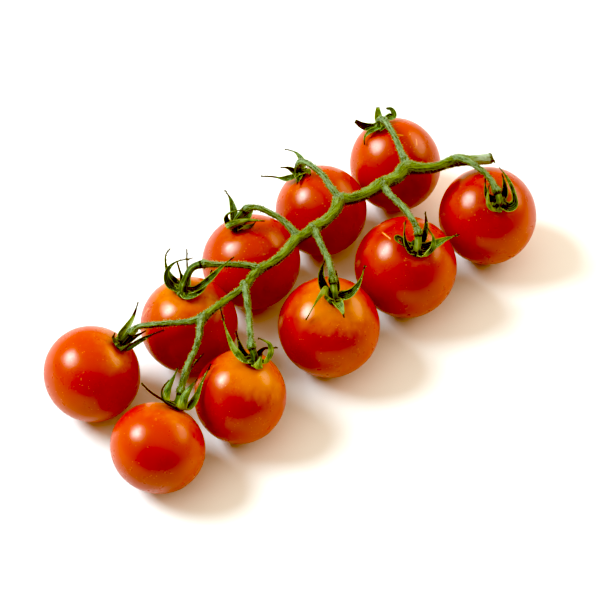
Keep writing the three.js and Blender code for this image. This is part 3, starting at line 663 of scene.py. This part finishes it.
class Studio(bpy.types.PropertyGroup):
    """The floor, the lights and the camera."""

    azimuth: FloatProperty(
        name="Azimuth", description="Where the camera stands round the truss", default=math.radians(-37),
        subtype="ANGLE")
    elevation: FloatProperty(
        name="Elevation", description="How steeply the camera looks down", default=math.radians(52),
        subtype="ANGLE")
    distance: FloatProperty(
        name="Distance", description="From the camera to the truss", default=0.65, min=0.2, unit="LENGTH")
    lens: FloatProperty(
        name="Lens", description="Focal length in millimetres", default=117, min=20, max=300)
    floor: FloatVectorProperty(
        name="Floor", description="Colour of the floor", default=(0.94, 0.915, 0.885), size=3,
        subtype="COLOR")
    fill: FloatVectorProperty(
        name="Fill", description="Colour of the light from all round", default=(1.0, 0.93, 0.78), size=3,
        subtype="COLOR")
    fill_strength: FloatProperty(
        name="Fill strength", description="Of the light from all round", default=0.98, min=0, max=4)
    key_power: FloatProperty(
        name="Key power", description="Of the round soft light, in watts", default=54, min=0)
    side_power: FloatProperty(
        name="Side power", description="Of the low wide light, in watts", default=5, min=0)


# In the materials, noise and dots are scaled per metre, and distances of a bump are metres. A step starts at
# the first number after its value and ends at the second.


def skin_material(look):
    """Glossy red skin: orange where it ripens last, with pale flecks and a few healed scratches."""
    skin = Finish("tomato_skin")
    place = skin.place()
    _, _, height = skin.split(skin.attribute("local"))
    ripeness = skin.attribute("ripeness", "Fac")
    patches = skin.noise(place, 55, 0.6)
    streaks = skin.noise(skin.stretch(skin.attribute("local"), (3.0, 3.0, 0.7)), 2.4, 2)
    uneven = skin.math("ADD", skin.times(patches, 0.45), skin.times(streaks, 0.35))
    level = skin.math("SUBTRACT", skin.math("ADD", height, uneven), ripeness)
    colour = skin.mix(skin.step(patches, 0.40, 0.70), tuple(look.ripe), tuple(look.deep))
    colour = skin.mix(skin.step(level, 0.58, 1.04), colour, tuple(look.shoulder))
    flecks = skin.step(skin.dots(place, 820), 0.20, 0.08)
    shown = skin.times(flecks, skin.step(skin.noise(place, 140), 0.42, 0.60))
    colour = skin.mix(skin.times(shown, 0.5), colour, FLECK)
    along, across, depth = skin.split(skin.attribute("mark"))
    wander = skin.times(skin.math("SUBTRACT", skin.noise(place, 900, 3), 0.5), 0.6)
    wavy = skin.math("ABSOLUTE", skin.math("ADD", across, wander))
    scratch = skin.times(skin.step(skin.math("ABSOLUTE", along), 1.1, 0.7), skin.step(wavy, 0.34, 0.12))
    scratch = skin.times(scratch, depth)
    colour = skin.mix(scratch, colour, tuple(look.scar))
    skin.set(
        base_color=colour,
        roughness=skin.step(skin.noise(place, 300, 2), 0.3, 0.7, 0.27, 0.33),
        normal=skin.bump(
            skin.math("SUBTRACT", skin.noise(place, 420, 2), scratch), 0.00003,
            skin.bump(skin.noise(place, 90, 1), 0.0004)),
        ior=1.45, specular_ior_level=0.70, specular_tint=HIGHLIGHT, subsurface_weight=0.12,
        subsurface_radius=(1.0, 0.22, 0.10), subsurface_scale=0.003)
    return skin.material


def stalk_material(look):
    """Furrowed yellow-green stalk, downy grey-green fruit stems and a pale drying cut end, with painted
    shade in the furrows and on the undersides.
    """
    stem = Finish("stalk_skin")
    place = stem.place()
    grain = stem.attribute("grain")
    rachis, cut, hair = stem.split(stem.attribute("stem_part"))
    furrows = stem.noise(stem.stretch(grain, (0.16, 1.6, 1.6)), 1.5, 3)
    mottle = stem.noise(place, 260, 3)
    # Painted shade: the stalk and the fruit stems turn to the bark shade colour in their furrows and where
    # their surface faces down.
    facing = stem.split(stem.add("ShaderNodeNewGeometry").outputs["Normal"])[2]
    bark = stem.mix(stem.step(furrows, 0.30, 0.62), tuple(look.bark_painted_shade), tuple(look.bark))
    bark = stem.mix(stem.step(facing, 0.55, 0.0), bark, tuple(look.bark_painted_shade))
    down = stem.mix(stem.step(furrows, 0.35, 0.62), tuple(look.bark_painted_shade), tuple(look.stem))
    down = stem.mix(stem.step(facing, 0.40, -0.30), down, tuple(look.bark_painted_shade))
    specks = stem.times(stem.step(stem.dots(place, 1500), 0.42, 0.18), stem.step(rachis, 0, 1, 0.6, 0.25))
    down = stem.mix(specks, down, tuple(look.cut))
    colour = stem.mix(rachis, down, bark)
    colour = stem.mix(stem.times(stem.step(mottle, 0.55, 0.75), 0.35), colour, tuple(look.cut))
    colour = stem.mix(stem.step(cut, 0.15, 0.75), colour, tuple(look.cut))
    colour = stem.mix(stem.step(cut, 0.96, 1.0), colour, CUT_RIM)
    colour = stem.mix(hair, colour, STALK_HAIR)
    stem.set(
        base_color=colour,
        roughness=stem.step(mottle, 0.3, 0.7, 0.5, 0.72),
        normal=stem.bump(furrows, 0.0004, stem.bump(stem.noise(place, 1500, 3), 0.00015)),
        subsurface_weight=0.12, subsurface_radius=(0.5, 1.0, 0.2), subsurface_scale=0.001,
        specular_ior_level=0.3, sheen_weight=0.10, sheen_roughness=0.45, sheen_tint=GREEN_SHEEN)
    return stem.material


def calyx_material(look):
    """Sepals with pale veins and margins, painted shade on their inner faces towards the foot, a
    yellow-green foot and dried tips.
    """
    leaf = Finish("sepal_skin")
    place = leaf.place()
    across, share, reach = leaf.split(leaf.attribute("blade"))
    inner, dry_from, hair = leaf.split(leaf.attribute("leaf_part"))
    pale = leaf.attribute("pale", "Fac")
    mottle = leaf.noise(place, 420, 3)
    wave = leaf.math("ABSOLUTE", leaf.math("SINE", leaf.times(across, VEIN_TURN)))
    veins = leaf.step(wave, 0.42, 0.05)
    margin = leaf.times(
        leaf.step(leaf.math("ABSOLUTE", across), 0.78, 0.96), leaf.step(pale, -0.2, 0.6, 0.15, 0.95))
    # Painted shade: a sepal's inner face darkens towards the foot, where the crown shades it.
    tone = leaf.math("SUBTRACT", pale, leaf.times(inner, leaf.step(reach, FAR, 2.5, 0.2, 0.6)))
    streaks = leaf.noise(leaf.stretch(leaf.attribute("blade"), (2.6, 2.0, 0.2)), 1.7, 3)
    uneven = leaf.math("SUBTRACT", leaf.math("ADD", streaks, mottle), 1.0)
    tone = leaf.math("ADD", tone, leaf.times(uneven, 1.8))
    colour = leaf.mix(leaf.step(tone, 0.28, 0.70), tuple(look.inside), tuple(look.leaf))
    colour = leaf.mix(leaf.step(tone, 0.70, 1.15), colour, tuple(look.vein))
    lines = leaf.math("MAXIMUM", leaf.times(veins, leaf.step(pale, -0.3, 0.9, 0.0, 0.7)), margin)
    colour = leaf.mix(lines, colour, tuple(look.vein))
    foot = leaf.times(leaf.step(reach, 5.8, 3.2), leaf.step(inner, 0.9, 0.4))
    colour = leaf.mix(leaf.times(foot, leaf.step(pale, 0.0, 0.6, 0.2, 0.9)), colour, tuple(look.foot))
    ragged = leaf.math("ADD", share, leaf.times(leaf.math("SUBTRACT", mottle, 0.5), 0.25))
    dried = leaf.step(leaf.math("SUBTRACT", ragged, dry_from), -0.04, 0.05)
    colour = leaf.mix(dried, colour, tuple(look.dry))
    colour = leaf.mix(leaf.times(hair, 0.8), colour, SEPAL_HAIR)
    leaf.set(
        base_color=colour,
        roughness=leaf.step(mottle, 0.3, 0.7, 0.45, 0.65),
        normal=leaf.bump(veins, 0.00022, leaf.bump(leaf.noise(place, 1100, 3), 0.00015)),
        subsurface_weight=0.10, subsurface_radius=(0.5, 1.0, 0.2), subsurface_scale=0.0008,
        specular_ior_level=0.3, sheen_weight=0.06, sheen_roughness=0.5, sheen_tint=GREEN_SHEEN)
    return leaf.material


def scratch_place(way, marks, radius):
    """Where a point lies by the nearest scratch: along it in half lengths, off it, and 1 if it is near."""
    if not marks:
        return (FAR, FAR, 0)
    start, end = min(marks, key=lambda pair: (way - (pair[0] + pair[1]) / 2).length)
    middle, half = (start + end) / 2, (end - start) / 2
    away = way - middle
    off = away.dot(middle.cross(half).normalized()) * radius
    return (away.dot(half) / half.length_squared, off, 1 if away.length < MARK_REACH else 0)


def build_tomato(index, fruit, look, material):
    """A round skin with a hollow at the stem, lightly uneven, flat where it rests."""
    bm = bmesh.new()
    local = bm.verts.layers.float_vector.new("local")
    mark = bm.verts.layers.float_vector.new("mark")
    ripeness = bm.verts.layers.float.new("ripeness")
    bmesh.ops.create_uvsphere(bm, u_segments=look.sides, v_segments=look.rings, radius=1)
    place = standing(fruit)
    radius = fruit["radius"]
    offset = Vector((index * 7.3, index * 3.1, index * 5.7))  # each fruit has noise of its own
    marks = [(Vector(start), Vector(end)) for start, end in fruit.get("marks", ())]
    for vert in bm.verts:
        way = vert.co.normalized()
        reach = math.hypot(way.x, way.y)
        dimple = math.exp(-((reach / DIMPLE_WIDTH) ** 2)) if way.z > 0 else 0
        swell = 1 + look.lump * noise.noise(way * SWELL_SCALE + offset) * reach
        shape = Vector((way.x * swell, way.y * swell, fruit["height"] * way.z - DIMPLE_DEPTH * dimple))
        vert[local] = way
        vert[ripeness] = fruit["ripe"]
        vert[mark] = scratch_place(way, marks, radius)
        vert.co = place @ (shape * radius)
        vert.co.z = max(vert.co.z, 0.0)
    name = f"tomato_{index}"
    finish_piece(bm, f"{name}_skin", material, name)


def stem_rings(fruit, path):
    """Frames and radii of a fruit stem: a flare at the stalk, then even, then its swollen joint."""
    end = path.length - fruit["neck"]
    runs = spread(0, end, math.ceil(end / STEM_STEP))
    rings = frames_along(path, [path.share_at(run) for run in runs], (1, 0, 0))
    radii = []
    for run in runs:
        back = (end - run) / KNUCKLE_LENGTH
        flare = FLARE * math.exp(-run / FLARE_LENGTH)
        knuckle = (KNUCKLE_RADIUS - PEDICEL_RADIUS) * math.exp(-((back - KNUCKLE_PEAK) ** 2))
        radii.append(PEDICEL_RADIUS + flare + knuckle)
    return rings, radii, runs


def neck_rings(fruit, path):
    """Frames and radii of the stem below the joint, down to the calyx."""
    start = path.length - fruit["neck"]
    runs = spread(start, path.length, math.ceil(fruit["neck"] / NECK_STEP))
    rings = frames_along(path, [path.share_at(run) for run in runs], (1, 0, 0))
    radii = []
    for run in runs:
        share = (run - start) / fruit["neck"]
        shoulder = NECK_SHOULDER * math.exp(-SHOULDER_FADE * share)
        radii.append(lerp(NECK_RADIUS, NECK_BASE_RADIUS, share ** 3) + shoulder)
    return rings, radii


def nearest_grain(samples):
    """A finder of the closest point of any stem, with its frame, run and whether it is the main stalk."""
    tree = KDTree(len(samples))
    for index, (ring, _, _) in enumerate(samples):
        tree.insert(ring.centre, index)
    tree.balance()
    return lambda spot: samples[tree.find(spot)[1]]


def joined(bm, voxel):
    """Melts tubes that run into each other into one skin."""
    mesh = bpy.data.meshes.new("stems")
    bm.to_mesh(mesh)
    bm.free()
    rough = bpy.data.objects.new("stems", mesh)
    bpy.context.scene.collection.objects.link(rough)
    remesh = rough.modifiers.new("Remesh", "REMESH")
    remesh.mode = "VOXEL"
    remesh.voxel_size = voxel
    dressed = rough.evaluated_get(bpy.context.evaluated_depsgraph_get()).to_mesh()
    whole = bmesh.new()
    whole.from_mesh(dressed)
    bpy.data.objects.remove(rough)
    bpy.data.meshes.remove(mesh)
    return whole


def build_stalk(look, material):
    """The main stalk with its ten fruit stems, furrowed and hairy."""
    bm = bmesh.new()
    rachis = Path([point[:3] for point in STALK])
    radii = [point[3] for point in STALK]
    shares = spread(0, 1, RACHIS_RINGS)
    rings = frames_along(rachis, shares, (0, 0, 1))
    add_tube(bm, rings, [along_list(radii, share) for share in shares], STEM_SIDES)
    samples = [(ring, share * rachis.length, 1.0) for ring, share in zip(rings, shares)]
    for fruit in FRUIT:
        stem, thick, runs = stem_rings(fruit, stem_path(fruit))
        add_tube(bm, stem, thick, STEM_SIDES)
        samples += [(ring, run, 0.0) for ring, run in zip(stem, runs)]
    shares = spread(0, 1, PEEL_FACETS)
    peel = frames_along(Path(CUT_PEEL), shares, (1, 0, 0))
    add_tube(bm, peel, [lerp(*PEEL_RADII, share) for share in shares], PEEL_FACETS)
    whole = joined(bm, look.voxel)
    bmesh.ops.smooth_vert(
        whole, verts=whole.verts, factor=0.5, use_axis_x=True, use_axis_y=True, use_axis_z=True)
    grain = whole.verts.layers.float_vector.new("grain")
    part = whole.verts.layers.float_vector.new("stem_part")
    find = nearest_grain(samples)
    whole.normal_update()
    for vert in whole.verts:
        ring, run, main = find(vert.co)
        away = vert.co - ring.centre
        run += away.dot(ring.along)
        across, above = away.dot(ring.across), away.dot(ring.above)
        streak = Vector((run * RIDGE_ALONG, across * RIDGE_ROUND, above * RIDGE_ROUND))
        vert[grain] = (run, across, above)
        cut = smooth(CUT_LENGTH - run, 0, CUT_LENGTH) if main else 0.0
        vert[part] = (main, cut, 0.0)
        ridge = noise.noise(streak) * RIDGE_HEIGHT + noise.noise(vert.co * KNOT_SCALE) * KNOT_HEIGHT
        vert.co += vert.normal * ridge
    rng = random.Random(STALK_SEED)
    whole.faces.ensure_lookup_table()
    hairy = rng.sample(list(whole.faces), look.hairs)
    for tip in add_hairs(whole, hairy, look.voxel * STALK_HAIR_WIDTH, look.hair_length, rng):
        foot = tip.link_edges[0].other_vert(tip)
        tip[grain] = foot[grain]
        tip[part] = (foot[part].x, foot[part].y, 1.0)
    finish_piece(whole, "stalk_skin", material, "stalk")


def add_sepal(bm, layers, fruit, sepal, look, rng):
    """One leafy blade: a grid bent along its midrib, channelled, thickened and curled."""
    width, twist, dry, tail, pale, *midrib = sepal
    path = Path((SEPAL_ROOT, *midrib))
    outward = Vector(midrib[0]) + Vector(midrib[1])
    outward = Vector((outward.x, outward.y, 0)).normalized()
    rows, columns = look.rows, look.columns
    rings = frames_along(path, spread(0, 1, rows), Vector((0, 0, 1)).cross(outward))
    rings = [rolled(ring, twist * smooth(row / rows, TWIST_FROM, TWIST_TO))
             for row, ring in enumerate(rings)]
    curl = rng.uniform(*CURLS)
    phase = rng.uniform(*CRINKLE_STARTS)
    to_centre = Vector((0, 0, hub_height(fruit)))
    made = bmesh.ops.create_grid(bm, x_segments=2 * columns, y_segments=rows, size=1)["verts"]
    above = {}
    for vert in made:
        u = vert.co.x
        row = round((vert.co.y + 1) / 2 * rows)
        share = row / rows
        ring = rings[row]
        arch = lerp(BLADE_START, 1, min(share / (1 - tail), 1) ** BLADE_LEAN)
        half = max(width * math.sin(math.pi * arch), TIP_WIDTH * (1.5 - share)) / 2
        foot = math.exp(-((share * path.length / FOOT_LENGTH) ** 2))
        half = lerp(half, FOOT_HALF_WIDTH, FOOT_SHARE * foot)
        bend = curl * (1 - FOOT_FLATNESS * foot)
        sideways = half * math.sin(bend * u) / bend
        rise = half * (1 - math.cos(bend * u)) / bend
        wave = CRINKLE_TURN * path.length * share / CRINKLE_LENGTH + phase + CRINKLE_SLANT * u
        rise += CRINKLE_HEIGHT * half * abs(u) * math.sin(wave)
        spot = ring.centre + ring.across * sideways + ring.above * rise
        lift = (ring.above - ring.across * math.sin(bend * u)).normalized()
        spot += to_centre
        clear = skin_reach(spot, fruit) + SKIN_GAP + look.thickness / 2
        if spot.length < clear:
            spot *= clear / spot.length
        vert.co = spot - to_centre
        vert[layers.blade] = (u, share, vert.co.length)
        # The pale value holds painted shade as well as the sepal's own tone.
        vert[layers.pale] = pale
        above[round(u * columns), row] = lift
    faces = each_once(face for vert in made for face in vert.link_faces)
    raised = bmesh.ops.extrude_face_region(bm, geom=faces)["geom"]
    tops = [part for part in raised if isinstance(part, bmesh.types.BMVert)]
    for verts, side in ((made, -0.5), (tops, 0.5)):
        for vert in verts:
            u, share, _ = vert[layers.blade]
            thick = look.thickness * lerp(1, EDGE_THICKNESS, abs(u) ** EDGE_POWER)
            thick *= lerp(1, TIP_THICKNESS, share)
            if side < 0 and abs(u) < MIDRIB:
                thick *= KEEL
            vert.co += above[round(u * columns), round(share * rows)] * side * thick
            vert[layers.part] = (0.5 + side, 1 - dry, 0.0)
    return each_once(face for vert in made for face in vert.link_faces)


def ribbed(x, y):
    """Where a point round an axis lies between the ribs that run down it."""
    return RIB_REACH * math.cos(RIBS * math.atan2(y, x))


def add_cup(bm, layers):
    """The disc that the sepals grow from."""
    cup = bmesh.ops.create_uvsphere(bm, u_segments=CUP_SIDES, v_segments=CUP_RINGS, radius=1)["verts"]
    for vert in cup:
        lobe = 1 + LOBE_DEPTH * math.cos(CUP_LOBES * math.atan2(vert.co.y, vert.co.x))
        vert.co = Vector((vert.co.x * CUP_RADIUS * lobe, vert.co.y * CUP_RADIUS * lobe,
                          (vert.co.z + 1) * CUP_HEIGHT))
        vert[layers.blade] = (ribbed(vert.co.x, vert.co.y), CUP_SHARE, vert.co.length)
        vert[layers.part] = (1.0, NEVER_DRY, 0.0)
        vert[layers.pale] = 0.5


def build_calyx(index, fruit, look, material):
    """The leafy crown of one fruit with the neck of its stem."""
    bm = bmesh.new()
    layers = Layers(
        bm.verts.layers.float_vector.new("blade"), bm.verts.layers.float_vector.new("leaf_part"),
        bm.verts.layers.float.new("pale"))
    rng = random.Random(CALYX_SEED + index)
    hairy = []
    for sepal in fruit["sepals"]:
        faces = add_sepal(bm, layers, fruit, sepal, look, rng)
        hairy += rng.sample(faces, min(look.hairs, len(faces)))
    add_cup(bm, layers)
    place = calyx_place(fruit)
    rings, radii = neck_rings(fruit, stem_path(fruit))
    bmesh.ops.transform(bm, matrix=place, verts=bm.verts)
    for count, (ring, verts) in enumerate(zip(rings, add_tube(bm, rings, radii, NECK_SIDES))):
        for vert in verts:
            away = vert.co - ring.centre
            vert[layers.blade] = (ribbed(away.dot(ring.across), away.dot(ring.above)), NECK_SHARE, FAR)
            vert[layers.part] = (0.0, NEVER_DRY, 0.0)
            # The collar value holds painted shade as well as the neck's own colour.
            vert[layers.pale] = fruit["collar"] if count >= DARK_RINGS else KNUCKLE_PALE
    bm.normal_update()
    for tip in add_hairs(bm, hairy, SEPAL_HAIR_WIDTH, look.hair_length, rng):
        foot = tip.link_edges[0].other_vert(tip)
        tip[layers.blade] = foot[layers.blade]
        tip[layers.part] = (foot[layers.part].x, foot[layers.part].y, 1.0)
        tip[layers.pale] = foot[layers.pale]
    name = f"calyx_{index}"
    finish_piece(bm, f"{name}_leaves", material, name)


def sphere_spot(azimuth, elevation, distance):
    """A point at a distance from the truss, by degrees round from +X and up from the floor."""
    azimuth, elevation = math.radians(azimuth), math.radians(elevation)
    flat = math.cos(elevation) * distance
    return AIM + Vector((math.cos(azimuth) * flat, math.sin(azimuth) * flat, math.sin(elevation) * distance))


def towards_truss(spot):
    return (AIM - spot).to_track_quat("-Z", "Y").to_euler()


def add_floor(scene, studio):
    """A wide pale floor."""
    bm = bmesh.new()
    bmesh.ops.create_grid(bm, x_segments=8, y_segments=8, size=FLOOR_REACH)
    mesh = bpy.data.meshes.new("floor")
    bm.to_mesh(mesh)
    bm.free()
    floor = bpy.data.objects.new("floor", mesh)
    scene.collection.objects.link(floor)
    paper = Finish("floor_paper")
    tone = paper.step(paper.noise(paper.place(), 30, 2), 0.3, 0.7, 0.0, 0.04)
    paper.set(base_color=paper.mix(tone, tuple(studio.floor), PAPER_TONE), roughness=0.8)
    mesh.materials.append(paper.material)


def add_softbox(scene, name, power, azimuth, elevation, distance, size, colour):
    """An oval soft light that the camera doesn't see."""
    data = bpy.data.lights.new(name, "AREA")
    data.shape = "ELLIPSE"
    data.size, data.size_y = size
    data.energy = power
    data.color = colour
    light = bpy.data.objects.new(name, data)
    light.location = sphere_spot(azimuth, elevation, distance)
    light.rotation_euler = towards_truss(light.location)
    light.visible_camera = False
    scene.collection.objects.link(light)


def surround(tree, studio):
    """Light from all round, dimmer where the photographer stands."""
    background = tree.nodes["Background"]
    way = tree.nodes.new("ShaderNodeTexCoord").outputs["Generated"]
    towards = tree.nodes.new("ShaderNodeVectorMath")
    towards.operation = "DOT_PRODUCT"
    tree.links.new(way, towards.inputs[0])
    towards.inputs[1].default_value = (sphere_spot(FRONT_AZIMUTH, FRONT_ELEVATION, 1.0) - AIM)[:]
    dim = tree.nodes.new("ShaderNodeMapRange")
    dim.interpolation_type = "SMOOTHSTEP"
    tree.links.new(towards.outputs["Value"], dim.inputs["Value"])
    dim.inputs["From Min"].default_value, dim.inputs["From Max"].default_value = FRONT_EDGE
    dim.inputs["To Min"].default_value = studio.fill_strength
    dim.inputs["To Max"].default_value = FRONT_SHARE * studio.fill_strength
    tree.links.new(dim.outputs["Result"], background.inputs["Strength"])
    background.inputs["Color"].default_value = (*studio.fill, 1)


def add_camera(scene, studio):
    data = bpy.data.cameras.new("camera")
    data.lens = studio.lens
    data.sensor_width = SENSOR_WIDTH
    data.clip_start = NEAREST
    camera = bpy.data.objects.new("camera", data)
    back = Vector((math.sin(studio.azimuth) * math.cos(studio.elevation),
                   -math.cos(studio.azimuth) * math.cos(studio.elevation), math.sin(studio.elevation)))
    camera.location = AIM + back * studio.distance
    camera.rotation_euler = towards_truss(camera.location)
    scene.collection.objects.link(camera)
    scene.camera = camera


class TRUSS_OT_stage(bpy.types.Operator):
    """Add the floor, the soft lights and the camera."""

    bl_idname = "truss.add_stage"
    bl_label = "Add Stage"

    def execute(self, context):
        scene = context.scene
        studio = scene.truss_studio
        add_floor(scene, studio)
        world = bpy.data.worlds.new("studio")
        world.use_nodes = True
        surround(world.node_tree, studio)
        scene.world = world
        add_softbox(scene, "key", studio.key_power, **KEY)
        add_softbox(scene, "side", studio.side_power, **SIDE)
        add_camera(scene, studio)
        scene.view_settings.view_transform = "Standard"
        scene.view_settings.use_curve_mapping = True
        scene.view_settings.curve_mapping.black_level = BLACK_LEVEL
        return {"FINISHED"}


class TRUSS_OT_tomatoes(bpy.types.Operator):
    """Add the ten fruit."""

    bl_idname = "truss.add_tomatoes"
    bl_label = "Add Tomatoes"

    def execute(self, context):
        look = context.scene.truss_fruit
        material = skin_material(look)
        for index, fruit in enumerate(FRUIT, 1):
            build_tomato(index, fruit, look, material)
        return {"FINISHED"}


class TRUSS_OT_stalk(bpy.types.Operator):
    """Add the main stalk with its fruit stems."""

    bl_idname = "truss.add_stalk"
    bl_label = "Add Stalk"

    def execute(self, context):
        look = context.scene.truss_stalk
        build_stalk(look, stalk_material(look))
        return {"FINISHED"}


class TRUSS_OT_calyxes(bpy.types.Operator):
    """Add the leafy calyx of each fruit."""

    bl_idname = "truss.add_calyxes"
    bl_label = "Add Calyxes"

    def execute(self, context):
        look = context.scene.truss_calyx
        material = calyx_material(look)
        for index, fruit in enumerate(FRUIT, 1):
            build_calyx(index, fruit, look, material)
        return {"FINISHED"}


class TRUSS_PT_panel(bpy.types.Panel):
    """Buttons and settings for the truss."""

    bl_label = "Tomato Truss"
    bl_idname = "TRUSS_PT_panel"
    bl_space_type = "VIEW_3D"
    bl_region_type = "UI"
    bl_category = "Truss"

    def draw(self, context):
        for group, operator in STEPS:
            box = self.layout.box()
            box.operator(operator.bl_idname)
            settings = getattr(context.scene, group)
            for name in settings.bl_rna.properties.keys():
                if name not in ("rna_type", "name"):
                    box.prop(settings, name)


STEPS = (
    ("truss_studio", TRUSS_OT_stage),
    ("truss_fruit", TRUSS_OT_tomatoes),
    ("truss_calyx", TRUSS_OT_calyxes),
    ("truss_stalk", TRUSS_OT_stalk),
)
GROUPS = {
    "truss_studio": Studio,
    "truss_fruit": FruitFinish,
    "truss_calyx": CalyxFinish,
    "truss_stalk": StalkFinish,
}


def register():
    for name, group in GROUPS.items():
        bpy.utils.register_class(group)
        setattr(bpy.types.Scene, name, PointerProperty(type=group))
    for _, operator in STEPS:
        bpy.utils.register_class(operator)
    bpy.utils.register_class(TRUSS_PT_panel)


def unregister():
    bpy.utils.unregister_class(TRUSS_PT_panel)
    for _, operator in STEPS:
        bpy.utils.unregister_class(operator)
    for name, group in GROUPS.items():
        delattr(bpy.types.Scene, name)
        bpy.utils.unregister_class(group)


def main():
    register()
    bpy.ops.truss.add_stage()
    bpy.ops.truss.add_tomatoes()
    bpy.ops.truss.add_calyxes()
    bpy.ops.truss.add_stalk()
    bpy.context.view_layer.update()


if __name__ == "__main__":
    main()
